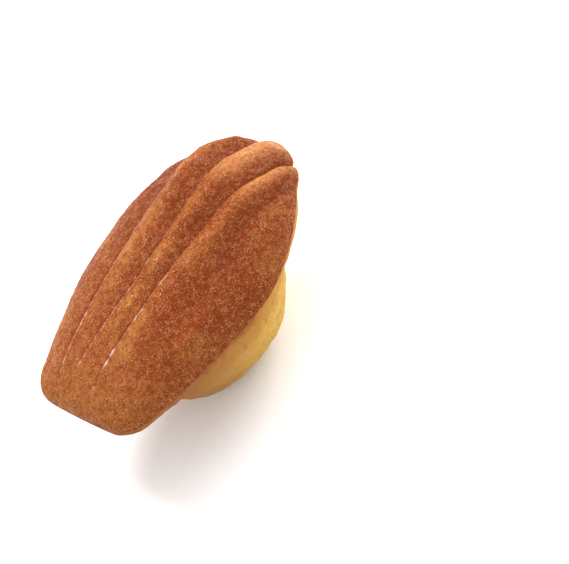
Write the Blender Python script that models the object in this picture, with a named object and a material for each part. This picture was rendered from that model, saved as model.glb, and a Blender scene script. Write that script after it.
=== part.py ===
"""A shell-shaped madeleine cake, lying on its hump with the ribbed shell side up.

Metres, +Z up.  +X points to the scalloped wide end with the tab, -X to the straight narrow end.
The origin is below the middle of the cake, on the plane it rests on.
"""

import bpy
import numpy as np

# Driving dimensions, in millimetres
LENGTH = 78.0
WIDTH = 49.6
NARROW_END_WIDTH = 31.2
SHELL_DEPTH = 13.2
RIB_HEIGHT = 1.25
BELLY_DEPTH = 24.7
SKIRT_DEPTH = 12.2
FLAT_SPOT_CUT = 0.6
RIM_THICKNESS = 0.5

# Plan outline: where it is widest, and where the side meets the scalloped end
WIDEST_AT = 0.55
CORNER_X = 27.2
NARROW_CORNER = 1.7
FLANK_POWERS = (1.0, 1.6, 1.84)

# Shell: place of the crown along the length and powers of its profiles
CROWN_AT = 0.69
SHELL_TO_NARROW = (2.13, 2.18)
SHELL_TO_TAB = (2.58, 1.27)
SHELL_TO_RIGHT = (1.95, 1.59)
SHELL_TO_LEFT = (1.86, 1.40)

# Relief: lean of the ribs toward +Y, lower dome around the tab, higher lobe left of it
RIB_LEAN = 1.25
TAB_DROP = 0.25
TAB_DROP_FROM = 0.78
LOBE_RISE = 0.95

# Hump: middle, half axes and fullness
HUMP_MIDDLE = (-2.5, -3.8)
HUMP_HALF_AXES = (22.6, 24.0)
HUMP_FULLNESS = 3.0

# Scallops of the wide end
TAB_REACH = 0.95
LOBE_REACH = 1.0
NOTCH_DEPTH = 0.65

# Mesh: columns in each of the five ribs, from the -Y flank to the +Y flank, and rows
RIB_COLUMNS = (13, 13, 12, 13, 13)
ROWS = 36

MM = 0.001


def clear_scene():
    """Empties the scene of its startup objects."""
    for obj in list(bpy.data.objects):
        bpy.data.objects.remove(obj, do_unlink=True)


def smooth(x, low, high):
    """Cubic step: 0 below low, 1 above high."""
    t = np.clip((x - low) / (high - low), 0.0, 1.0)
    return t * t * (3.0 - 2.0 * t)


def half_width(x):
    """Half width of the plan at x: a sine rise from the narrow end, then a superellipse to the tab."""
    rise_power, fall_power, fall_root = FLANK_POWERS
    along = np.clip(x / LENGTH + 0.5, 0.0, 1.0)
    rise = np.clip(along / WIDEST_AT, 0.0, 1.0)
    fall = np.clip((along - WIDEST_AT) / (1.0 - WIDEST_AT), 0.0, 1.0)
    narrow = NARROW_END_WIDTH / 2
    rising = narrow + (WIDTH / 2 - narrow) * np.sin(np.pi / 2 * rise) ** rise_power
    falling = WIDTH / 2 * (1.0 - fall**fall_power) ** (1.0 / fall_root)
    return np.where(along < WIDEST_AT, rising, falling)


def valley_lines(b):
    """Sideways place of the four valleys, as a share of the half width, for each row place b."""
    outer_right = -0.732 + 0.14 * b - 0.188 * b**6
    inner_right = -0.204 - 0.102 * b - 0.18 * b**3
    inner_left = -0.02 + 0.972 * (b - 0.56) ** 2
    outer_left = 0.392 + 0.319 * (b - 0.50) ** 2 + 0.22 * smooth(b, 0.70, 0.95)
    return np.stack([outer_right, inner_right, inner_left, outer_left])


def columns():
    """For each column: its rib number and its place u from 0 to 1 across that rib."""
    rib = []
    place = []
    for number, count in enumerate(RIB_COLUMNS):
        u = np.arange(count) / count
        if number == 0:
            u = 1.0 - np.cos(np.pi / 2 * u)
        elif number == len(RIB_COLUMNS) - 1:
            u = np.sin(np.pi / 2 * u)
        rib.append(np.full(count, number))
        place.append(u)
    rib.append([len(RIB_COLUMNS) - 1])
    place.append([1.0])
    return np.concatenate(rib), np.concatenate(place)


def rib_crown(u):
    """Height share across a rib with a sharp valley on either side, steeper on its +Y flank."""
    t = np.abs(2.0 * u**RIB_LEAN - 1.0)
    return (1.0 - t**2.2) ** 0.7


def rib_profile(rib, u, b):
    """Height share of the ribs: valleys widen and soften toward the tab; the outer right one is soft."""
    t = np.abs(2.0 * u**RIB_LEAN - 1.0)
    soft = ((0.5 + 0.5 * np.cos(np.pi * t)) ** 0.8)[:, None]
    softness = smooth(b, 0.35, 0.85) * 0.7
    beside_soft = ((rib == 0) & (u > 0.5)) | ((rib == 1) & (u < 0.5))
    softness = np.where(beside_soft[:, None], 1.0, softness)
    crown = rib_crown(u)[:, None]
    profile = crown + (soft - crown) * softness
    outer = (0.5 + 0.3 * smooth(b, 0.4, 0.7)) * (1.0 - 0.6 * smooth(b, 0.72, 0.92))
    faint = np.where(beside_soft[:, None], outer, 1.0)
    beside_tab = (((rib == 1) & (u > 0.5)) | ((rib == 2) & (u < 0.5)))[:, None]
    faint = np.where(beside_tab, 1.0 - 0.85 * smooth(b, 0.70, 0.92), faint)
    return 1.0 - (1.0 - profile) * faint


def closing_line(a):
    """x of the wide end without its scallops: the curve in which the two flanks close."""
    rise_power, fall_power, fall_root = FLANK_POWERS
    widest = half_width(np.array([(WIDEST_AT - 0.5) * LENGTH]))[0]
    y = np.abs(a) * half_width(np.array([CORNER_X]))[0]
    closing = (1.0 - (y / widest) ** fall_root) ** (1.0 / fall_power)
    return ((WIDEST_AT - 0.5) + (1.0 - WIDEST_AT) * closing) * LENGTH - 1.0


def scallops(rib, crown):
    """How far each column of the wide end reaches past its closing curve, for tab, lobes and notches."""
    reach = np.choose(rib, [0.0, LOBE_REACH, TAB_REACH, LOBE_REACH, 0.0])
    notch = np.where((rib == 0) | (rib == 4), 0.0, NOTCH_DEPTH)
    blunt = np.where(rib == 2, 1.0 - (1.0 - crown) ** 5, crown)
    return blunt * (reach + notch) - notch * 0.5


def plan():
    """Plan place of every grid point on both sheets, with its column and row coordinates."""
    rib, u = columns()
    crown = rib_crown(u)
    b = 0.5 - 0.5 * np.cos(np.pi * (np.arange(ROWS + 1) / ROWS * 0.97 + 0.015))
    b = (b - b[0]) / (b[-1] - b[0])
    edge = np.ones_like(b)
    lines = np.vstack([-edge, valley_lines(b), edge])
    a = lines[rib] * (1.0 - u)[:, None] + lines[rib + 1] * u[:, None]
    start = -LENGTH / 2 + 0.4 * a**2 + NARROW_CORNER * np.abs(a) ** 12
    x = start + (closing_line(a[:, -1])[:, None] - start) * b
    reach = scallops(rib, crown)[:, None]
    corner_b = -LENGTH / 2 + (CORNER_X + LENGTH / 2) * b
    drawn_in = NARROW_CORNER * (1.0 - np.clip(b / 0.07, 0.0, 1.0)) ** 2.5
    y = a * (half_width(corner_b) - drawn_in)
    b = np.broadcast_to(b, a.shape)
    return a, b, x + reach * b**2, x + reach * b**9, y, rib, u


def meet(p, q):
    """Joins two profiles from 0 at an edge to 1 in the middle, so that both edges stay at 0."""
    return p * q / np.maximum(p + q - p * q, 1e-9)


def dome_height(a, b):
    """Height over the rim without ribs: one curve across met with one along, lower around the tab."""
    power = np.where(a < 0.0, SHELL_TO_RIGHT[0], SHELL_TO_LEFT[0])
    root = np.where(a < 0.0, SHELL_TO_RIGHT[1], SHELL_TO_LEFT[1])
    across = (1.0 - np.abs(a) ** power) ** (1.0 / root)
    back = np.clip((CROWN_AT - b) / CROWN_AT, 0.0, 1.0)
    ahead = np.clip((b - CROWN_AT) / (1.0 - CROWN_AT), 0.0, 1.0)
    to_narrow = (1.0 - back ** SHELL_TO_NARROW[0]) ** (1.0 / SHELL_TO_NARROW[1])
    to_tab = (1.0 - ahead ** SHELL_TO_TAB[0]) ** (1.0 / SHELL_TO_TAB[1])
    return SHELL_DEPTH * meet(across, np.where(b < CROWN_AT, to_narrow, to_tab))


def tab_drop(rib, u, b):
    """Share by which the dome is lower on the tab and right of it, from the crest of the left lobe on."""
    beside = np.where(rib == 3, 1.0 - smooth(u, 0.0, 0.5), np.where(rib == 4, 0.0, 1.0))
    return TAB_DROP * smooth(b, TAB_DROP_FROM, 0.98) * beside[:, None]


def shell_height(a, b, rib, u):
    """Height over the rim: a dome with ribs that fade out before the narrow end."""
    dome = dome_height(a, b) * (1.0 - tab_drop(rib, u, b))
    fade = smooth(b, 0.06, 0.58) * (0.75 + 0.45 * b)
    outer = np.where((rib == 0) | (rib == 4), 0.75, 1.0)[:, None]
    edge = np.clip(dome / (0.26 * SHELL_DEPTH), 0.0, 1.0)
    rise = LOBE_RISE * smooth(b, 0.55, 0.85) * (rib == 3)[:, None]
    return dome + (RIB_HEIGHT * fade * outer + rise) * rib_profile(rib, u, b) * edge


def belly_depth(a, b, x, y):
    """Depth under the rim: a sloping skirt with a round hump on it."""
    across = 1.0 - np.abs(a) ** 2.7
    along = 1.0 - np.abs(2.0 * b - 1.0) ** 2.1
    skirt = SKIRT_DEPTH * meet(across, along)
    reach = ((x - HUMP_MIDDLE[0]) / HUMP_HALF_AXES[0]) ** 2
    reach = np.sqrt(reach + ((y - HUMP_MIDDLE[1]) / HUMP_HALF_AXES[1]) ** 2)
    rise = np.clip(1.0 - reach**HUMP_FULLNESS, 0.0, 1.0) ** 0.95
    hump = (BELLY_DEPTH - SKIRT_DEPTH) * rise
    uneven = 0.35 * np.sin(0.21 * x + 0.9) * np.sin(0.26 * y + 0.4) * np.clip(skirt / 6.0, 0.0, 1.0)
    return skirt + hump + uneven


def cake_points():
    """Grid points in millimetres of the shell side and of the belly side, cut flat where it rests.

    Also returns which points are off the rim."""
    a, b, shell_x, belly_x, y, rib, u = plan()
    wave = 0.3 * np.sin(0.17 * shell_x + 0.5) * np.cos(0.11 * y)
    top = wave + shell_height(a, b, rib, u)
    inside = np.zeros_like(a, bool)
    inside[1:-1, 1:-1] = True
    bottom = wave - belly_depth(a, b, belly_x, y) - RIM_THICKNESS * inside
    bottom = np.maximum(bottom, bottom.min() + FLAT_SPOT_CUT)
    shell = np.stack([shell_x, y, top], -1)
    belly = np.stack([belly_x, y, bottom], -1)
    return shell, belly, inside


def quads(index):
    """Faces of a grid of point numbers."""
    corners = [index[:-1, :-1], index[:-1, 1:], index[1:, 1:], index[1:, :-1]]
    return np.stack([corner.ravel() for corner in corners], -1)


def cake_mesh():
    """Vertices in metres and faces: the two sheets share the points of the rim."""
    shell, belly, inside = cake_points()
    count = inside.size
    shell_index = np.arange(count).reshape(inside.shape)
    belly_index = shell_index.copy()
    belly_index[inside] = count + np.arange(inside.sum())
    points = np.vstack([shell.reshape(-1, 3), belly[inside]])
    low = points.min(axis=0)
    high = points.max(axis=0)
    points = points - [(low[0] + high[0]) / 2, (low[1] + high[1]) / 2, low[2]]
    faces = np.vstack([quads(shell_index), quads(belly_index)[:, ::-1]])
    return points * MM, faces.tolist()


def crust_material():
    """Golden brown crust."""
    material = bpy.data.materials.new("crust")
    material.use_nodes = True
    shader = material.node_tree.nodes["Principled BSDF"]
    shader.inputs["Base Color"].default_value = (0.45, 0.16, 0.045, 1.0)
    shader.inputs["Roughness"].default_value = 0.6
    return material


def build_madeleine():
    """Adds the cake to the scene as one closed mesh."""
    points, faces = cake_mesh()
    mesh = bpy.data.meshes.new("madeleine")
    mesh.from_pydata(points.tolist(), [], faces)
    mesh.validate()
    mesh.materials.append(crust_material())
    mesh.shade_smooth()
    cake = bpy.data.objects.new("madeleine", mesh)
    bpy.context.scene.collection.objects.link(cake)
    return cake


clear_scene()
build_madeleine()
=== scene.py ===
"""Shell-shaped madeleine cake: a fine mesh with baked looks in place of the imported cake, and a stage."""

import math

import bpy
import numpy as np
from bpy.props import FloatProperty, FloatVectorProperty, PointerProperty
from mathutils import Matrix, Vector


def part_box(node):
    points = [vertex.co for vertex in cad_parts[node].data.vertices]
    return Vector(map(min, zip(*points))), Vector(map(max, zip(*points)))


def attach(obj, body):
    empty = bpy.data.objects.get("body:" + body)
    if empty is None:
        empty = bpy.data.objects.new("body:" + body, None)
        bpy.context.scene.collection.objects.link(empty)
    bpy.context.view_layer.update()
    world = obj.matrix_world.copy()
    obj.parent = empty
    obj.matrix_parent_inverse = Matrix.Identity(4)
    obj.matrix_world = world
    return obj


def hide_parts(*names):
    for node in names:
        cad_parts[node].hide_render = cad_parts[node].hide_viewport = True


bl_info = {
    "name": "Madeleine Cake",
    "version": (1, 0, 0),
    "blender": (4, 5, 0),
    "location": "View3D > Sidebar > Madeleine",
    "description": "Builds a shell-shaped sponge cake with a browned ribbed crust and a pale hump",
    "category": "Add Mesh",
}

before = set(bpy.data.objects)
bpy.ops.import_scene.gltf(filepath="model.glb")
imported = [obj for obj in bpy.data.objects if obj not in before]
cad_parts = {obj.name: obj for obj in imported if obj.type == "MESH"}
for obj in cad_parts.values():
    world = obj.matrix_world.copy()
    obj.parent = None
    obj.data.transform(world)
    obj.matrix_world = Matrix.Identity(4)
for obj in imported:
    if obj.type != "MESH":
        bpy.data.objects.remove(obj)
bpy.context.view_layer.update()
CAKE_LOW, CAKE_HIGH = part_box("madeleine")

MM = 0.001

# Stage, in metres; the frame of the camera in millimetres
RIM_LEVEL = 0.02454
LAMP_DISTANCE = 0.9
FLOOR_HALF_SIDE = 3.0
FLOOR_WAVER_TONE = (0.8, 0.8, 0.8)
SENSOR_WIDTH = 36.0

# Ribs are counted from the -Y flank to the +Y flank
RIB_COLUMNS = (50, 50, 46, 50, 50)
ROWS = 196
MIDDLE_RIB = 2
LEFT_LOBE = 3
LAST_RIB = len(RIB_COLUMNS) - 1

# Shape of the plan outline and of the shell dome, as shares and powers
WIDEST_AT = 0.55
CORNER_AT = 66.2 / 78.0
FLANK_POWERS = (1.0, 1.6, 1.84)
CROWN_AT = 0.69
SHELL_TO_NARROW = (2.13, 2.18)
SHELL_TO_TAB = (2.58, 1.27)
SHELL_TO_RIGHT = (1.95, 1.59)
SHELL_TO_LEFT = (1.86, 1.40)
RIB_LEAN = 1.25
OUTER_RIB_HEIGHT = 0.75
RIBS_FULL_AT = 0.26
RIM_BAND = 0.12
TAB_DROP = 0.25
TAB_DROP_FROM = 0.78
HUMP_MIDDLE = (-2.5, -3.8)
HUMP_HALF_AXES = (22.6, 24.0)
HUMP_FULLNESS = 3.0
RIM_THICKNESS = 0.5
FLAT_SPOT_BLEND = 1.5

# Unevenness as layers of noise, each with its height and its cell size in millimetres
RIB_LAYERS = ((0.26, 11.0), (0.18, 4.0))
SHELL_LAYERS = ((0.22, 8.0), (0.12, 3.1))
SHELL_GRAIN_LAYERS = ((1.0, 1.25), (0.9, 0.7))
BELLY_LAYERS = ((0.34, 7.0), (0.15, 2.8))
BELLY_GRAIN_LAYERS = ((1.0, 1.2), (0.7, 0.7))

# Glossy streaks with a painted highlight, rib by rib: their place across the rib and their strength; and
# how golden each crown is, partly painted light
STREAK_PLACES = (1.0, 0.972, 0.945, 0.915, 1.0)
STREAK_STRENGTHS = (0.0, 1.0, 0.9, 0.7, 0.0)
STREAK_WIDTH = 0.028
CROWN_GOLD = (0.3, 0.45, 1.0, 0.85, 0.5)

# Noise of the materials, in cells per metre
CRUST_GRAIN = 2200.0
CRUST_SPECKS = 3200.0
CRUST_GOLD_PATCHES = 95.0
CRUST_RED_PATCHES = 60.0
CRUMB_GRAIN = 1300.0
CRUMB_SPECKS = 1900.0
CRUMB_WAVER = 140.0
SPECK_SHARE = 0.2


def metres(name, text, default, low=0.0):
    """A length property in metres."""
    return FloatProperty(name=name, description=text, default=default, min=low, unit="LENGTH", precision=4)


def watts(name, text, default):
    """A property for the power of a light."""
    return FloatProperty(name=name, description=text, default=default, min=0.0, unit="POWER")


def degrees(name, text, default):
    """An angle property, given in degrees."""
    return FloatProperty(name=name, description=text, default=math.radians(default), unit="ROTATION")


def colour(name, text, default):
    """A colour property."""
    return FloatVectorProperty(
        name=name, description=text, default=default, subtype="COLOR", size=3, min=0.0, max=1.0
    )


class CakeSizes(bpy.types.PropertyGroup):
    """Sizes of the cake."""

    length: metres("Length", "From the straight narrow end to the closing curve of the wide end", 0.078)
    width: metres("Width", "Widest measure across the shell", 0.0496)
    narrow_end: metres("Narrow end", "Width of the straight narrow end", 0.0312)
    narrow_corner: metres("Narrow corner", "How much the corners of the narrow end are rounded", 0.0017)
    shell_depth: metres("Shell depth", "Height of the shell dome over the rim, at the grooves", 0.0132)
    rib_height: metres("Rib height", "Height of a rib over the grooves beside it", 0.00125)
    lobe_rise: metres("Lobe rise", "Extra height of the lobe on the +Y side of the tab", 0.00095)
    belly_depth: metres("Belly depth", "Depth of the hump under the rim", 0.0247)
    skirt_depth: metres("Skirt depth", "Depth of the slope between rim and hump", 0.0122)
    flat_spot: metres("Flat spot", "How much the hump is flattened where it rests", 0.0006)
    tab_reach: metres("Tab reach", "How far the tab stands out of the wide end", 0.00095)
    lobe_reach: metres("Lobe reach", "How far the lobes beside the tab stand out", 0.0010)
    notch_depth: metres("Notch depth", "Depth of the notches between tab and lobes", 0.00065)
    grain_height: metres("Grain height", "Height of the fine grain of the crust", 0.00006)


class CakeColours(bpy.types.PropertyGroup):
    """Colours of crust and crumb."""

    crust_gold: colour("Golden crust", "Lighter patches of the shell crust", (0.340, 0.122, 0.0265))
    crust_brown: colour("Brown crust", "Main tone of the shell crust", (0.235, 0.059, 0.0140))
    # Also painted shade on the -Y side, turned away from the light.
    crust_red_and_shade: colour("Red crust", "Redder broad patches, and painted shade on the -Y side", (0.182, 0.031, 0.0050))
    # Also painted shade on the -Y flanks of the ribs and in the grooves.
    crust_dark_and_shade: colour("Dark crust", "Deepest browning, and painted shade on the -Y flanks and in the grooves", (0.128, 0.0200, 0.0030))
    # Also the colour of the painted glints, pale specks that stand in for tiny highlights.
    crust_pale_and_painted_glint: colour("Pale crust and painted glints", "Pale patches and painted glints in the crust", (0.50, 0.235, 0.085))
    # Painted highlight: pale colour on the glossy groove edges.
    crust_painted_highlight: colour("Painted highlight on glossy edges", "Painted highlight on broken glossy edges along the grooves", (0.68, 0.45, 0.34))
    crumb_pale: colour("Pale crumb", "Top of the hump", (0.670, 0.478, 0.170))
    crumb_yellow: colour("Yellow crumb", "Sides of the hump", (0.50, 0.298, 0.047))
    crumb_gold: colour("Golden crumb", "Slope between rim and hump", (0.34, 0.150, 0.021))
    # Also painted shade toward the narrow end of the belly.
    crumb_brown_and_shade: colour("Browned edge and painted shade", "Crumb next to the rim", (0.18, 0.052, 0.0090))


class StageSettings(bpy.types.PropertyGroup):
    """Floor, light and camera."""

    floor: colour("Floor", "Colour of the floor", (0.88, 0.88, 0.88))
    key_power: watts("Main light", "Power of the soft main light", 8.9)
    fill_power: watts("Fill light", "Power of the wide light on the tab's side", 8.5)
    sky_strength: FloatProperty(name="Sky", description="Strength of the even light", default=1.21)
    lens: metres("Lens", "Focal length of the camera in metres", 0.3114)
    distance: metres("Camera distance", "From the middle of the rim to the camera", 1.112)
    azimuth: degrees("Azimuth", "Turn of the camera about the cake", -17.32)
    elevation: degrees("Elevation", "Height angle of the camera", 46.29)
    roll: degrees("Roll", "Turn of the camera about its view line", 41.78)
    aim_right: metres("Aim right", "Aim point, right of the rim's middle in the view", 0.02376, low=-1.0)
    aim_up: metres("Aim up", "Aim point, above the rim's middle in the view", -0.00060, low=-1.0)


# Arrays that vary over the cake


def smooth(x, low, high):
    """Cubic step: 0 below low, 1 above high."""
    t = np.clip((x - low) / (high - low), 0.0, 1.0)
    return t * t * (3.0 - 2.0 * t)


def lattice(i, j, k, seed):
    """A repeatable random number from -1 to 1 for each lattice corner, by mixing its three counts."""
    h = (i * 73856093) ^ (j * 19349663) ^ (k * 83492791) ^ (seed * 2654435761)
    h = h & 0xFFFFFFFF
    h = ((h ^ (h >> 15)) * 2246822519) & 0xFFFFFFFF
    h = ((h ^ (h >> 13)) * 3266489917) & 0xFFFFFFFF
    return ((h ^ (h >> 16)) & 0xFFFFFF) / float(0x7FFFFF) - 1.0


def noise(points, cell, seed):
    """Smooth noise: random numbers at the corners of cubes of the cell size, blended across each cube."""
    grid = points / cell + 1000.0
    base = np.floor(grid).astype(np.int64)
    part = grid - base
    part = part * part * (3.0 - 2.0 * part)
    total = np.zeros(points.shape[:-1])
    for corner in range(8):
        step = np.array([corner & 1, corner >> 1 & 1, corner >> 2 & 1])
        weight = np.prod(np.where(step, part, 1.0 - part), axis=-1)
        at = base + step
        total += weight * lattice(at[..., 0], at[..., 1], at[..., 2], seed)
    return total


def layered_noise(points, layers, seed):
    """Sum of layers of noise, each with its height and cell size, and each with the next seed."""
    return sum(height * noise(points, cell, seed + number) for number, (height, cell) in enumerate(layers))


def normals_of(surface):
    """Unit normals of a grid surface, pointing up for columns along +Y and rows along +X."""
    along_y = np.gradient(surface, axis=0)
    along_x = np.gradient(surface, axis=1)
    normal = np.cross(along_x, along_y)
    return normal / np.maximum(np.linalg.norm(normal, axis=-1, keepdims=True), 1e-12)


# Shape of the cake, in millimetres


def in_mm(sizes):
    """The sizes of the cake in millimetres, by name."""
    return {name: getattr(sizes, name) / MM for name in sizes.__annotations__}


def half_width(x, mm):
    """Half width of the plan at x: a sine rise from the narrow end, then a superellipse to the tab."""
    rise_power, fall_power, fall_root = FLANK_POWERS
    along = np.clip(x / mm["length"] + 0.5, 0.0, 1.0)
    rise = np.clip(along / WIDEST_AT, 0.0, 1.0)
    fall = np.clip((along - WIDEST_AT) / (1.0 - WIDEST_AT), 0.0, 1.0)
    narrow = mm["narrow_end"] / 2
    wide = mm["width"] / 2
    rising = narrow + (wide - narrow) * np.sin(np.pi / 2 * rise) ** rise_power
    falling = wide * (1.0 - fall**fall_power) ** (1.0 / fall_root)
    return np.where(along < WIDEST_AT, rising, falling)


def groove_lines(b):
    """Sideways place of the four grooves, as a share of the half width, for each row place b."""
    outer_right = -0.732 + 0.14 * b - 0.188 * b**6
    inner_right = -0.204 - 0.102 * b - 0.18 * b**3
    inner_left = -0.02 + 0.972 * (b - 0.56) ** 2
    outer_left = 0.392 + 0.319 * (b - 0.50) ** 2 + 0.22 * smooth(b, 0.70, 0.95)
    return np.stack([outer_right, inner_right, inner_left, outer_left])


def columns():
    """For each column: its rib number and its place u from 0 to 1 across that rib."""
    rib = []
    place = []
    for number, count in enumerate(RIB_COLUMNS):
        u = np.arange(count) / count
        if number == 0:
            u = 1.0 - np.cos(np.pi / 2 * u)
        elif number == LAST_RIB:
            u = np.sin(np.pi / 2 * u)
        rib.append(np.full(count, number))
        place.append(u)
    rib.append([LAST_RIB])
    place.append([1.0])
    return np.concatenate(rib), np.concatenate(place)


def outermost(rib):
    """Which columns lie on the first or the last rib."""
    return (rib == 0) | (rib == LAST_RIB)


def rib_crown(u):
    """Height share across a rib with a sharp groove on either side, steeper on its +Y flank."""
    t = np.abs(2.0 * u**RIB_LEAN - 1.0)
    return (1.0 - t**2.2) ** 0.7


def beside_groove(rib, u, first):
    """Which columns lie on the near flanks of the groove between the first rib and the next one."""
    return (((rib == first) & (u > 0.5)) | ((rib == first + 1) & (u < 0.5)))[:, None]


def rib_profile(rib, u, b):
    """Height share of the ribs: grooves widen and soften toward the tab; the outer right one is soft.

    The two right grooves also grow shallow before they reach the rim."""
    t = np.abs(2.0 * u**RIB_LEAN - 1.0)
    soft = ((0.5 + 0.5 * np.cos(np.pi * t)) ** 0.8)[:, None]
    beside_outer = beside_groove(rib, u, 0)
    softness = np.where(beside_outer, 1.0, smooth(b, 0.25, 0.75) * 0.8)
    crown = rib_crown(u)[:, None]
    profile = crown + (soft - crown) * softness
    outer_depth = (0.5 + 0.3 * smooth(b, 0.4, 0.7)) * (1.0 - 0.6 * smooth(b, 0.72, 0.92))
    inner_depth = 1.0 - 0.85 * smooth(b, 0.70, 0.92)
    depth = np.where(beside_outer, outer_depth, np.where(beside_groove(rib, u, 1), inner_depth, 1.0))
    return 1.0 - (1.0 - profile) * depth


def closing_line(a, mm):
    """x of the wide end without its scallops: the curve in which the two flanks close."""
    rise_power, fall_power, fall_root = FLANK_POWERS
    corner_x = (CORNER_AT - 0.5) * mm["length"]
    y = np.abs(a) * half_width(np.array([corner_x]), mm)[0]
    closing = (1.0 - (y / (mm["width"] / 2)) ** fall_root) ** (1.0 / fall_power)
    return ((WIDEST_AT - 0.5) + (1.0 - WIDEST_AT) * closing) * mm["length"] - 1.0


def scallops(rib, crown, mm):
    """How far each column of the wide end reaches past its closing curve, for tab, lobes and notches."""
    lobe = mm["lobe_reach"]
    reach = np.choose(rib, [0.0, lobe, mm["tab_reach"], lobe, 0.0])
    notch = np.where(outermost(rib), 0.0, mm["notch_depth"])
    blunt = np.where(rib == MIDDLE_RIB, 1.0 - (1.0 - crown) ** 5, crown)
    return blunt * (reach + notch) - notch * 0.5


def plan(mm):
    """Plan place of every grid point on both sheets, with its column and row coordinates."""
    rib, u = columns()
    crown = rib_crown(u)
    b = 0.5 - 0.5 * np.cos(np.pi * (np.arange(ROWS + 1) / ROWS * 0.97 + 0.015))
    b = (b - b[0]) / (b[-1] - b[0])
    edge = np.ones_like(b)
    lines = np.vstack([-edge, groove_lines(b), edge])
    a = lines[rib] * (1.0 - u)[:, None] + lines[rib + 1] * u[:, None]
    start = -mm["length"] / 2 + 0.4 * a**2 + mm["narrow_corner"] * np.abs(a) ** 12
    x = start + (closing_line(a[:, -1], mm)[:, None] - start) * b
    reach = scallops(rib, crown, mm)[:, None]
    corner_b = (CORNER_AT * b - 0.5) * mm["length"]
    drawn_in = mm["narrow_corner"] * (1.0 - np.clip(b / 0.07, 0.0, 1.0)) ** 2.5
    y = a * (half_width(corner_b, mm) - drawn_in)
    b = np.broadcast_to(b, a.shape)
    return a, b, x + reach * b**2, x + reach * b**9, y, rib, u


def meet(p, q):
    """Joins two profiles from 0 at an edge to 1 in the middle, so that both edges stay at 0."""
    return p * q / np.maximum(p + q - p * q, 1e-9)


def shell_dome(a, b, rib, u, mm):
    """Height over the rim without ribs: one curve across met with one along, lower around the tab."""
    power = np.where(a < 0.0, SHELL_TO_RIGHT[0], SHELL_TO_LEFT[0])
    root = np.where(a < 0.0, SHELL_TO_RIGHT[1], SHELL_TO_LEFT[1])
    across = (1.0 - np.abs(a) ** power) ** (1.0 / root)
    back = np.clip((CROWN_AT - b) / CROWN_AT, 0.0, 1.0)
    ahead = np.clip((b - CROWN_AT) / (1.0 - CROWN_AT), 0.0, 1.0)
    to_narrow = (1.0 - back ** SHELL_TO_NARROW[0]) ** (1.0 / SHELL_TO_NARROW[1])
    to_tab = (1.0 - ahead ** SHELL_TO_TAB[0]) ** (1.0 / SHELL_TO_TAB[1])
    dome = mm["shell_depth"] * meet(across, np.where(b < CROWN_AT, to_narrow, to_tab))
    beside = np.where(rib == LEFT_LOBE, 1.0 - smooth(u, 0.0, 0.5), np.where(rib > LEFT_LOBE, 0.0, 1.0))
    return dome * (1.0 - TAB_DROP * smooth(b, TAB_DROP_FROM, 0.98) * beside[:, None])


def rib_heights(b, rib, mm):
    """Full height of each rib: nothing at the narrow end, most near the tab, less on the flanks."""
    fade = smooth(b, 0.06, 0.58) * (0.75 + 0.45 * b)
    outer = np.where(outermost(rib), OUTER_RIB_HEIGHT, 1.0)[:, None]
    rise = mm["lobe_rise"] * smooth(b, 0.55, 0.85) * (rib == LEFT_LOBE)[:, None]
    return mm["rib_height"] * fade * outer + rise


def belly_depth(a, b, x, y, mm):
    """Depth under the rim: a sloping skirt with a round hump on it.

    Also returns how far out each point lies from the hump's middle, with 1 at its foot."""
    across = 1.0 - np.abs(a) ** 2.7
    along = 1.0 - np.abs(2.0 * b - 1.0) ** 2.1
    skirt = mm["skirt_depth"] * meet(across, along)
    reach = ((x - HUMP_MIDDLE[0]) / HUMP_HALF_AXES[0]) ** 2
    reach = np.sqrt(reach + ((y - HUMP_MIDDLE[1]) / HUMP_HALF_AXES[1]) ** 2)
    rise = np.clip(1.0 - reach**HUMP_FULLNESS, 0.0, 1.0) ** 0.95
    hump = (mm["belly_depth"] - mm["skirt_depth"]) * rise
    uneven = 0.35 * np.sin(0.21 * x + 0.9) * np.sin(0.26 * y + 0.4) * np.clip(skirt / 6.0, 0.0, 1.0)
    return skirt + hump + uneven, reach


def shell_sheet(a, b, x, y, rib, u, wave, mm):
    """Points of the shell side with ribs, slow unevenness and grain, and its masks by name."""
    dome = shell_dome(a, b, rib, u, mm)
    edge = np.clip(dome / (RIBS_FULL_AT * mm["shell_depth"]), 0.0, 1.0)
    flat = np.stack([x, y, dome], -1)
    profile = rib_profile(rib, u, b)
    ribs = rib_heights(b, rib, mm) * profile * edge * (1.0 + layered_noise(flat, RIB_LAYERS, 3))
    surface = np.stack([x, y, wave + dome + ribs], -1)
    inner = smooth(dome, 0.0, RIM_BAND * mm["shell_depth"])
    grain = mm["grain_height"] * layered_noise(surface, SHELL_GRAIN_LAYERS, 7)
    bumps = inner * (layered_noise(surface, SHELL_LAYERS, 5) + grain)
    surface = surface + normals_of(surface) * bumps[..., None]
    masks = browning_and_light_masks(rib, u, b, profile, inner, flat)
    masks["gloss_and_painted_highlight"] = inner * streaks(rib, u, b, flat)
    masks["red_and_shade"] = red_and_shaded_side(a, b)
    return surface, masks


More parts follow.
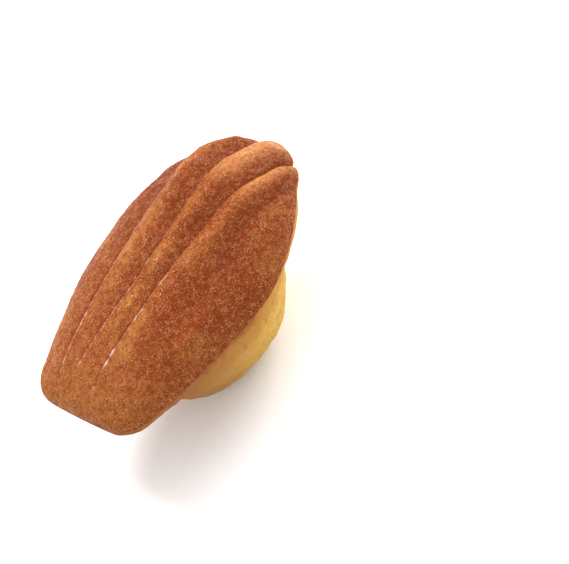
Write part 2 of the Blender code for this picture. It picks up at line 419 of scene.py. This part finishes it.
def browning_and_light_masks(rib, u, b, profile, inner, flat):
    """Masks of the shell side: darker -Y flanks, groove bottoms and outer right dip, partly browning and
    partly painted shade; rib tops with their lit +Y flanks, partly painted light; golden crowns, tab and
    rim.
    """
    across = u[:, None] + 0.05 * noise(flat, 5.0, 31)
    middle = ~outermost(rib)[:, None]
    along = smooth(b, 0.3, 0.75) * (1.0 - 0.5 * smooth(b, 0.93, 1.0))
    # Partly painted shade: the -Y half of each rib, turned away from the light, is darkened along with its
    # browning.
    flank = (1.0 - smooth(across, 0.15, 0.65)) * (rib > 0)[:, None]
    flank = flank * (0.3 + 0.7 * along) * smooth(b, 0.1, 0.3)
    # Partly painted shade: darker at the groove bottoms.
    crease = (np.exp(-((u / 0.05) ** 2)) * (rib > 1))[:, None]
    crease = crease * smooth(b, 0.07, 0.16) * (1.0 - along)
    # Partly painted shade: the dip on the outer right rib is darkened.
    soft_dip = (smooth(u, 0.45, 1.0) * (rib == 0))[:, None]
    soft_dip = 0.8 * soft_dip * smooth(b, 0.35, 0.7)
    # Partly painted light: the +Y half of each rib, which faces the light, counts as crest and turns more
    # golden.
    crest_and_lit_flank = smooth(across, 0.3, 0.6) * middle + np.where(middle, 0.0, 0.5)
    # Partly painted light: golden crowns on the upper rib tops.
    crown = crest_and_lit_flank * profile * smooth(b, 0.4, 0.62) * smooth(noise(flat, 7.0, 35), -0.4, 0.5)
    tab = np.where(rib == MIDDLE_RIB, smooth(u, 0.1, 0.4), np.where(rib == 1, smooth(u, 0.2, 0.9), 0.0))
    return {
        "browned_and_shaded": inner * np.clip(flank + soft_dip + crease, 0.0, 1.0),
        "crest_and_lit_flank": inner * crest_and_lit_flank * profile,
        "crown": crown * np.choose(rib, CROWN_GOLD)[:, None],
        "tab": tab[:, None] * smooth(b, 0.72, 0.92),
        "rim": 1.0 - inner,
    }


def streaks(rib, u, b, flat):
    """Mask of the glossy streaks with a painted highlight: beads in stretches of the edge on the -Y side
    of each sharp groove.
    """
    wander = u[:, None] - np.choose(rib, STREAK_PLACES)[:, None] + 0.012 * noise(flat, 1.6, 36)
    line = np.exp(-((wander / STREAK_WIDTH) ** 2)) * np.choose(rib, STREAK_STRENGTHS)[:, None]
    line = line * smooth(b, 0.05, 0.12) * (1.0 - smooth(b, 0.3, 0.66))
    beads = 0.4 + 0.6 * smooth(noise(flat, 0.6, 33), -0.3, 0.3)
    return line * beads * smooth(noise(flat, 3.2, 34) + 0.25 * noise(flat, 1.0, 37), -0.35, 0.15)


def red_and_shaded_side(a, b):
    """Mask of the broad -Y side of the shell, away from both ends, made darker and deeper in tone: partly
    browning, partly painted shade of the side turned away from the light.
    """
    side = smooth(-a, 0.2, 0.55) * (1.0 - 0.7 * smooth(-a, 0.75, 1.0))
    return side * smooth(b, 0.15, 0.4) * (1.0 - smooth(b, 0.86, 0.97))


def belly_sheet(a, b, x, y, wave, inside, mm):
    """Points of the belly side: skirt and hump with a crease between them, soft dents and grain.

    It is cut flat where it rests. Also returns the depth under the rim."""
    depth, reach = belly_depth(a, b, x, y, mm)
    flat = np.stack([x, y, -depth], -1)
    crease = np.exp(-(((reach - 1.0 + 0.03 * noise(flat, 7.0, 21)) / 0.045) ** 2))
    crease = crease * (0.35 + 0.25 * noise(flat, 9.0, 22)) * smooth(np.abs(x - HUMP_MIDDLE[0]), 8.0, 18.0)
    bottom = wave - depth - RIM_THICKNESS * inside
    level = bottom.min() + mm["flat_spot"]
    surface = np.stack([x, y, bottom], -1)
    grain = 2.0 * mm["grain_height"] * layered_noise(surface, BELLY_GRAIN_LAYERS, 25)
    bumps = layered_noise(surface, BELLY_LAYERS, 23) + grain
    above = smooth(bottom, level, level + FLAT_SPOT_BLEND)
    bumps = smooth(depth, 0.0, 2.0) * (bumps * above + crease)
    surface = surface + normals_of(surface) * bumps[..., None]
    surface[..., 2] = np.maximum(surface[..., 2], level)
    return surface, depth


def quads(index):
    """Faces of a grid of point numbers."""
    corners = [index[:-1, :-1], index[:-1, 1:], index[1:, 1:], index[1:, :-1]]
    return np.stack([corner.ravel() for corner in corners], -1)


def cake_arrays(sizes):
    """Points in metres, faces, the count of shell faces, and the masks by name."""
    mm = in_mm(sizes)
    a, b, shell_x, belly_x, y, rib, u = plan(mm)
    wave = 0.3 * np.sin(0.17 * shell_x + 0.5) * np.cos(0.11 * y)
    shell, shell_values = shell_sheet(a, b, shell_x, y, rib, u, wave, mm)
    inside = np.zeros_like(a, bool)
    inside[1:-1, 1:-1] = True
    belly, depth = belly_sheet(a, b, belly_x, y, wave, inside, mm)
    count = inside.size
    shell_index = np.arange(count).reshape(inside.shape)
    belly_index = shell_index.copy()
    belly_index[inside] = count + np.arange(inside.sum())
    points = np.vstack([shell.reshape(-1, 3), belly[inside]])
    shell_faces = quads(shell_index)
    faces = np.vstack([shell_faces, quads(belly_index)[:, ::-1]])
    empty = np.zeros(inside.sum())
    masks = {name: np.concatenate([values.ravel(), empty]) for name, values in shell_values.items()}
    masks["under"] = np.concatenate([np.zeros(count), depth[inside] / mm["belly_depth"]])
    masks["along"] = np.concatenate([b.ravel(), b[inside]])
    return fit_to_box(points), faces, len(shell_faces), masks


def fit_to_box(points):
    """Stretches the points, by well under a hundredth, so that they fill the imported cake's box."""
    low = points.min(axis=0)
    high = points.max(axis=0)
    cad_low = np.array(CAKE_LOW)
    cad_high = np.array(CAKE_HIGH)
    return cad_low + (points - low) / (high - low) * (cad_high - cad_low)


def add_mesh(name, points, faces):
    """A new object at the origin from arrays of points and quads, shaded smooth."""
    mesh = bpy.data.meshes.new(name)
    mesh.vertices.add(len(points))
    mesh.vertices.foreach_set("co", points.astype(np.float32).ravel())
    mesh.loops.add(faces.size)
    mesh.loops.foreach_set("vertex_index", faces.astype(np.int32).ravel())
    mesh.polygons.add(len(faces))
    mesh.polygons.foreach_set("loop_start", np.arange(0, faces.size, 4, dtype=np.int32))
    mesh.update(calc_edges=True)
    mesh.shade_smooth()
    obj = bpy.data.objects.new(name, mesh)
    bpy.context.scene.collection.objects.link(obj)
    return obj


def add_mask(mesh, name, values):
    """Stores one number for each point, for a material to read."""
    mask = mesh.attributes.new(name, "FLOAT", "POINT")
    mask.data.foreach_set("value", values.astype(np.float32))


# Shader building


def link(tree, source, target):
    """Joins an output socket to an input socket, or sets a number or colour on it."""
    if isinstance(source, bpy.types.NodeSocket):
        tree.links.new(source, target)
    elif isinstance(source, (tuple, list)) and len(source) == 3 and target.type == "RGBA":
        target.default_value = (*source, 1.0)
    else:
        target.default_value = source


def math_node(tree, operation, first, second=0.0, clamp=False):
    """A math node; returns its value."""
    node = tree.nodes.new("ShaderNodeMath")
    node.operation = operation
    node.use_clamp = clamp
    link(tree, first, node.inputs[0])
    link(tree, second, node.inputs[1])
    return node.outputs[0]


def mix_colour(tree, factor, first, second):
    """A colour mix; returns its colour."""
    node = tree.nodes.new("ShaderNodeMix")
    node.data_type = "RGBA"
    link(tree, factor, node.inputs["Factor"])
    link(tree, first, node.inputs[6])
    link(tree, second, node.inputs[7])
    return node.outputs[2]


def scaled(tree, value, factor):
    """A value times a factor."""
    return math_node(tree, "MULTIPLY", value, factor)


def layered_colour(tree, base, layers):
    """Colours mixed over a base one after another, each with its share; returns the last colour."""
    for share, tint in layers:
        base = mix_colour(tree, share, base, tuple(tint))
    return base


def step_node(tree, value, low, high, to_low=0.0, to_high=1.0):
    """A smooth map range; returns its value."""
    node = tree.nodes.new("ShaderNodeMapRange")
    node.interpolation_type = "SMOOTHSTEP"
    link(tree, value, node.inputs["Value"])
    link(tree, low, node.inputs["From Min"])
    link(tree, high, node.inputs["From Max"])
    link(tree, to_low, node.inputs["To Min"])
    link(tree, to_high, node.inputs["To Max"])
    return node.outputs["Result"]


def noise_node(tree, position, scale, detail=2.0, roughness=0.5):
    """Noise at so many cells per metre; returns its value."""
    node = tree.nodes.new("ShaderNodeTexNoise")
    link(tree, position, node.inputs["Vector"])
    link(tree, scale, node.inputs["Scale"])
    node.inputs["Detail"].default_value = detail
    node.inputs["Roughness"].default_value = roughness
    return node.outputs["Fac"]


def mask_node(tree, name):
    """Reads one of the cake's masks."""
    node = tree.nodes.new("ShaderNodeAttribute")
    node.attribute_name = name
    return node.outputs["Fac"]


def object_position(tree):
    """Position on the piece, in metres."""
    return tree.nodes.new("ShaderNodeTexCoord").outputs["Object"]


def new_group(name, inputs, outputs):
    """An empty node group with named float or vector inputs and float outputs."""
    group = bpy.data.node_groups.new(name, "ShaderNodeTree")
    for label, kind in inputs:
        group.interface.new_socket(label, in_out="INPUT", socket_type=kind)
    for label in outputs:
        group.interface.new_socket(label, in_out="OUTPUT", socket_type="NodeSocketFloat")
    entry = group.nodes.new("NodeGroupInput")
    leave = group.nodes.new("NodeGroupOutput")
    return group, entry, leave


def baked_grain_group():
    """Fine grain of baked sponge: a tone that wavers about 0.5, and its relief."""
    group, entry, leave = new_group(
        "Baked grain",
        [("Position", "NodeSocketVector"), ("Scale", "NodeSocketFloat")],
        ["Tone", "Relief"],
    )
    position = entry.outputs["Position"]
    scale = entry.outputs["Scale"]
    fine = noise_node(group, position, scale, 3.0, 0.75)
    coarse = noise_node(group, position, scaled(group, scale, 0.32), 2.0, 0.5)
    tone = math_node(group, "ADD", scaled(group, fine, 0.62), scaled(group, coarse, 0.38))
    link(group, step_node(group, tone, 0.385, 0.615), leave.inputs["Tone"])
    link(group, fine, leave.inputs["Relief"])
    return group


def sugar_glints_group():
    """Irregular specks scattered over the crust: a mask for pale glints and one for dark pits."""
    group, entry, leave = new_group(
        "Glints and pits",
        [("Position", "NodeSocketVector"), ("Scale", "NodeSocketFloat"), ("Share", "NodeSocketFloat")],
        ["Glint", "Pit"],
    )
    position = entry.outputs["Position"]
    scale = entry.outputs["Scale"]
    speck = noise_node(group, position, scale, 1.0, 0.5)
    crowd = noise_node(group, position, scaled(group, scale, 0.2))
    crowd = scaled(group, math_node(group, "SUBTRACT", crowd, 0.5), 0.3)
    reach = scaled(group, entry.outputs["Share"], 0.1)
    high = math_node(group, "ADD", math_node(group, "ADD", speck, crowd), reach)
    low = math_node(group, "SUBTRACT", math_node(group, "SUBTRACT", speck, crowd), reach)
    link(group, step_node(group, high, 0.62, 0.74), leave.inputs["Glint"])
    link(group, step_node(group, low, 0.26, 0.38, 1.0, 0.0), leave.inputs["Pit"])
    return group


def place_group(tree, group, **values):
    """Places a node group and sets or joins its inputs; returns the node."""
    node = tree.nodes.new("ShaderNodeGroup")
    node.node_tree = group
    for label, value in values.items():
        link(tree, value, node.inputs[label])
    return node


def bump_node(tree, height, distance, strength):
    """A bump of the given depth in metres; returns its normal."""
    node = tree.nodes.new("ShaderNodeBump")
    node.inputs["Distance"].default_value = distance
    node.inputs["Strength"].default_value = strength
    link(tree, height, node.inputs["Height"])
    return node.outputs["Normal"]


def new_material(name):
    """A new material; returns it, its tree and its main shader."""
    material = bpy.data.materials.new(name)
    material.use_nodes = True
    return material, material.node_tree, material.node_tree.nodes["Principled BSDF"]


def golden_share(tree, patches, redder_and_shaded, rim):
    """How golden the crust is: in patches, on rib tops and their lit +Y flanks and on crowns as partly
    painted light, on tab and narrow end, less toward the -Y side and at the rim.
    """
    # Partly painted light: rib tops and lit +Y flanks raise the golden share.
    crests_and_lit_flanks = math_node(tree, "ADD", scaled(tree, mask_node(tree, "crest_and_lit_flank"), 0.7), 0.3)
    gold = scaled(tree, step_node(tree, patches, 0.45, 0.68), crests_and_lit_flanks)
    gold = scaled(tree, gold, math_node(tree, "SUBTRACT", 1.0, scaled(tree, redder_and_shaded, 0.45)))
    gold = math_node(tree, "MAXIMUM", gold, scaled(tree, mask_node(tree, "crown"), 0.5))
    narrow_end = step_node(tree, mask_node(tree, "along"), 0.02, 0.2, 0.4, 0.0)
    ends = math_node(tree, "ADD", mask_node(tree, "tab"), narrow_end)
    gold = math_node(tree, "MAXIMUM", gold, scaled(tree, ends, 0.9))
    return scaled(tree, gold, math_node(tree, "SUBTRACT", 1.0, rim))


def red_share(tree, position, redder_and_shaded, rim):
    """How far the crust turns to its deeper tone: broad patches away from the narrow end, the -Y side as
    partly painted shade, and the rim.
    """
    along = mask_node(tree, "along")
    red_and_shade = step_node(tree, noise_node(tree, position, CRUST_RED_PATCHES, 2.0, 0.5), 0.40, 0.62, 0.0, 0.6)
    red_and_shade = scaled(tree, red_and_shade, step_node(tree, along, 0.08, 0.3))
    red_and_shade = math_node(tree, "ADD", red_and_shade, step_node(tree, along, 0.4, 0.7, 0.0, 0.3))
    red_and_shade = math_node(tree, "ADD", red_and_shade, scaled(tree, redder_and_shaded, 0.8), clamp=True)
    return math_node(tree, "MAXIMUM", red_and_shade, rim)


def relief(tree, fine, dots, pit_depth):
    """Height of the grain, with the pits sunk into it."""
    pits = scaled(tree, dots.outputs["Pit"], pit_depth)
    return math_node(tree, "SUBTRACT", fine.outputs["Relief"], pits)


def crust_material(colours, grain, specks):
    """Shell crust with browning: golden patches and rib tops, lighter on the lit +Y flanks as partly
    painted light; darker, deeper brown -Y flanks, grooves and -Y side as partly painted shade; fine grain,
    pale painted glints, painted highlights along the grooves, and pits.
    """
    material, tree, shader = new_material("browned crust")
    position = object_position(tree)
    fine = place_group(tree, grain, Position=position, Scale=CRUST_GRAIN)
    dots = place_group(tree, specks, Position=position, Scale=CRUST_SPECKS, Share=SPECK_SHARE)
    tone = fine.outputs["Tone"]
    patches = noise_node(tree, position, CRUST_GOLD_PATCHES, 3.0, 0.55)
    browned_and_shaded = mask_node(tree, "browned_and_shaded")
    redder_and_shaded = mask_node(tree, "red_and_shade")
    rim = scaled(tree, mask_node(tree, "rim"), 0.75)
    pale = scaled(tree, mask_node(tree, "tab"), step_node(tree, patches, 0.3, 0.6, 0.15, 0.42))
    glint = math_node(tree, "SUBTRACT", 0.55, scaled(tree, browned_and_shaded, 0.35))
    gloss_and_painted_highlight = scaled(tree, mask_node(tree, "gloss_and_painted_highlight"), step_node(tree, tone, 0.3, 0.7, 0.15, 1.0))
    base = layered_colour(tree, tuple(colours.crust_brown), (
        # Partly painted shade: the -Y side, turned away from the light, is darkened.
        (red_share(tree, position, redder_and_shaded, rim), colours.crust_red_and_shade),
        (golden_share(tree, patches, redder_and_shaded, rim), colours.crust_gold),
        (pale, colours.crust_pale_and_painted_glint),
        # Browning and painted shade: -Y flanks, groove bottoms and the outer right dip are darkened.
        (scaled(tree, browned_and_shaded, 0.97), colours.crust_dark_and_shade),
        (step_node(tree, tone, 0.0, 0.6, 0.55, 0.0), colours.crust_dark_and_shade),
        (step_node(tree, tone, 0.5, 1.0, 0.0, 0.4), colours.crust_gold),
        # Painted glints: pale specks for tiny highlights; the glint mask also adds real coat gloss.
        (scaled(tree, dots.outputs["Glint"], glint), colours.crust_pale_and_painted_glint),
        (scaled(tree, dots.outputs["Pit"], 0.45), colours.crust_dark_and_shade),
        # Painted highlight along the grooves; the same mask also gives real coat gloss and lower
        # roughness.
        (scaled(tree, gloss_and_painted_highlight, 0.95), colours.crust_painted_highlight),
    ))
    link(tree, base, shader.inputs["Base Color"])
    matt = step_node(tree, tone, 0.0, 1.0, 0.75, 0.45)
    link(tree, math_node(tree, "SUBTRACT", matt, scaled(tree, gloss_and_painted_highlight, 0.2)), shader.inputs["Roughness"])
    shader.inputs["Specular IOR Level"].default_value = 0.07
    coat = math_node(tree, "ADD", scaled(tree, dots.outputs["Glint"], 0.35), gloss_and_painted_highlight, clamp=True)
    link(tree, coat, shader.inputs["Coat Weight"])
    shader.inputs["Coat Roughness"].default_value = 0.3
    link(tree, bump_node(tree, relief(tree, fine, dots, 0.4), 0.0004, 0.9), shader.inputs["Normal"])
    return material


def crumb_material(colours, grain, specks):
    """Pale belly: brown at the rim, golden on the skirt and toward the narrow end, pale on the hump;
    darker, browner and less yellow toward the narrow end as painted shade.
    """
    material, tree, shader = new_material("pale crumb")
    position = object_position(tree)
    fine = place_group(tree, grain, Position=position, Scale=CRUMB_GRAIN)
    dots = place_group(tree, specks, Position=position, Scale=CRUMB_SPECKS, Share=SPECK_SHARE)
    tone = fine.outputs["Tone"]
    along = mask_node(tree, "along")
    waver = math_node(tree, "SUBTRACT", noise_node(tree, position, CRUMB_WAVER, 3.0, 0.6), 0.5)
    place = math_node(tree, "ADD", mask_node(tree, "under"), scaled(tree, waver, 0.22))
    # Painted shade: the belly turns darker and less yellow toward the narrow end, paler toward the tab.
    place = math_node(tree, "SUBTRACT", place, step_node(tree, along, 0.04, 0.36, 0.22, 0.0))
    place = math_node(tree, "ADD", place, step_node(tree, along, 0.5, 0.75, 0.0, 0.12))
    to_tab = step_node(tree, along, 0.25, 0.62, 0.35, 1.0)
    yellow = scaled(tree, step_node(tree, place, 0.05, 0.34), to_tab)
    base = layered_colour(tree, tuple(colours.crumb_brown_and_shade), (
        (step_node(tree, place, 0.0, 0.09), colours.crumb_gold),
        (yellow, colours.crumb_yellow),
        (step_node(tree, place, 0.60, 0.95, 0.0, 0.9), colours.crumb_pale),
        # Painted shade: browner toward the narrow end.
        (step_node(tree, along, 0.14, 0.66, 0.8, 0.0), colours.crumb_brown_and_shade),
        (step_node(tree, tone, 0.0, 0.8, 0.4, 0.0), colours.crumb_gold),
        (scaled(tree, dots.outputs["Pit"], 0.3), colours.crumb_brown_and_shade),
    ))
    link(tree, base, shader.inputs["Base Color"])
    link(tree, step_node(tree, tone, 0.0, 1.0, 0.75, 0.55), shader.inputs["Roughness"])
    shader.inputs["Specular IOR Level"].default_value = 0.2
    link(tree, bump_node(tree, relief(tree, fine, dots, 0.5), 0.00025, 0.7), shader.inputs["Normal"])
    return material


def floor_material(tone):
    """Plain pale floor with a barely visible waver in its tone."""
    material, tree, shader = new_material("studio floor")
    waver = noise_node(tree, object_position(tree), 3.0, 1.0, 0.4)
    shade = mix_colour(tree, step_node(tree, waver, 0.3, 0.7, 0.0, 0.02), tuple(tone), FLOOR_WAVER_TONE)
    link(tree, shade, shader.inputs["Base Color"])
    shader.inputs["Roughness"].default_value = 0.9
    shader.inputs["Specular IOR Level"].default_value = 0.2
    return material


# Operators


class MADELEINE_OT_cake(bpy.types.Operator):
    """Build the cake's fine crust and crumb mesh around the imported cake"""

    bl_idname = "madeleine.cake"
    bl_label = "Build cake"

    def execute(self, context):
        scene = context.scene
        points, faces, shell_count, masks = cake_arrays(scene.madeleine_sizes)
        cake = add_mesh("madeleine_cake", points, faces)
        for name, values in masks.items():
            add_mask(cake.data, name, values)
        grain = baked_grain_group()
        specks = sugar_glints_group()
        cake.data.materials.append(crust_material(scene.madeleine_colours, grain, specks))
        cake.data.materials.append(crumb_material(scene.madeleine_colours, grain, specks))
        slots = (np.arange(len(faces)) >= shell_count).astype(np.int32)
        cake.data.polygons.foreach_set("material_index", slots)
        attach(cake, "root")
        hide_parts("madeleine")
        return {"FINISHED"}


class MADELEINE_OT_stage(bpy.types.Operator):
    """Set the floor, the soft lights and the camera"""

    bl_idname = "madeleine.stage"
    bl_label = "Set stage"

    def execute(self, context):
        settings = context.scene.madeleine_stage
        add_floor(settings)
        add_light(settings)
        add_camera(settings)
        context.scene.view_settings.view_transform = "Standard"
        return {"FINISHED"}


def add_floor(settings):
    """A square plane six metres wide under the cake."""
    half = FLOOR_HALF_SIDE
    points = np.array([[-half, -half, 0.0], [half, -half, 0.0], [half, half, 0.0], [-half, half, 0.0]])
    floor = add_mesh("floor", points, np.array([[0, 1, 2, 3]]))
    floor.data.materials.append(floor_material(settings.floor))


def add_lamp(name, direction, size, power):
    """A disk light that faces the cake from the given direction."""
    light = bpy.data.lights.new(name, "AREA")
    light.shape = "DISK"
    light.size = size
    light.energy = power
    lamp = bpy.data.objects.new(name, light)
    away = Vector(direction).normalized()
    turn = away.to_track_quat("Z", "Y").to_matrix().to_4x4()
    lamp.matrix_world = Matrix.Translation(away * LAMP_DISTANCE) @ turn
    bpy.context.scene.collection.objects.link(lamp)


def add_light(settings):
    """A soft light from the +Y side and above, a wider one from the tab's side, and an even white sky."""
    add_lamp("main light", (0.20, 0.50, 0.84), 0.45, settings.key_power)
    add_lamp("fill light", (0.88, 0.06, 0.47), 0.80, settings.fill_power)
    world = bpy.data.worlds.new("soft sky")
    world.use_nodes = True
    sky = world.node_tree.nodes["Background"]
    sky.inputs["Color"].default_value = (1.0, 0.99, 0.98, 1.0)
    sky.inputs["Strength"].default_value = settings.sky_strength
    bpy.context.scene.world = world


def add_camera(settings):
    """A long lens that looks at the cake from the -Y side, rolled so that the tab points up and right."""
    azimuth = settings.azimuth
    elevation = settings.elevation
    flat = math.cos(elevation)
    back = Vector((math.sin(azimuth) * flat, -math.cos(azimuth) * flat, math.sin(elevation)))
    level = Vector((math.cos(azimuth), math.sin(azimuth), 0.0))
    upright = back.cross(level)
    roll = settings.roll
    right = level * math.cos(roll) - upright * math.sin(roll)
    up = level * math.sin(roll) + upright * math.cos(roll)
    rim = Vector((0.0, 0.0, CAKE_LOW.z + RIM_LEVEL))
    eye = rim + back * settings.distance
    aim = rim + right * settings.aim_right + up * settings.aim_up
    look = (eye - aim).normalized()
    side = up.cross(look).normalized()
    top = look.cross(side)
    data = bpy.data.cameras.new("camera")
    data.lens = settings.lens / MM
    data.sensor_width = SENSOR_WIDTH
    camera = bpy.data.objects.new("camera", data)
    turn = Matrix((side, top, look)).transposed().to_4x4()
    camera.matrix_world = Matrix.Translation(eye) @ turn
    bpy.context.scene.collection.objects.link(camera)
    bpy.context.scene.camera = camera


class MADELEINE_PT_panel(bpy.types.Panel):
    """Madeleine cake: sizes, colours and stage"""

    bl_label = "Madeleine cake"
    bl_idname = "MADELEINE_PT_panel"
    bl_space_type = "VIEW_3D"
    bl_region_type = "UI"
    bl_category = "Madeleine"

    def draw(self, context):
        scene = context.scene
        for settings, button in (
            (scene.madeleine_sizes, "madeleine.cake"),
            (scene.madeleine_colours, None),
            (scene.madeleine_stage, "madeleine.stage"),
        ):
            box = self.layout.box()
            for name in settings.__annotations__:
                box.prop(settings, name)
            if button:
                box.operator(button)


CLASSES = (
    CakeSizes,
    CakeColours,
    StageSettings,
    MADELEINE_OT_cake,
    MADELEINE_OT_stage,
    MADELEINE_PT_panel,
)


def register():
    """Registers the classes and their settings on the scene."""
    for entry in CLASSES:
        bpy.utils.register_class(entry)
    bpy.types.Scene.madeleine_sizes = PointerProperty(type=CakeSizes)
    bpy.types.Scene.madeleine_colours = PointerProperty(type=CakeColours)
    bpy.types.Scene.madeleine_stage = PointerProperty(type=StageSettings)


def unregister():
    """Removes the settings and the classes."""
    del bpy.types.Scene.madeleine_stage
    del bpy.types.Scene.madeleine_colours
    del bpy.types.Scene.madeleine_sizes
    for entry in reversed(CLASSES):
        bpy.utils.unregister_class(entry)


def main():
    """Builds the cake and the stage."""
    register()
    bpy.ops.madeleine.cake()
    bpy.ops.madeleine.stage()


if __name__ == "__main__":
    main()
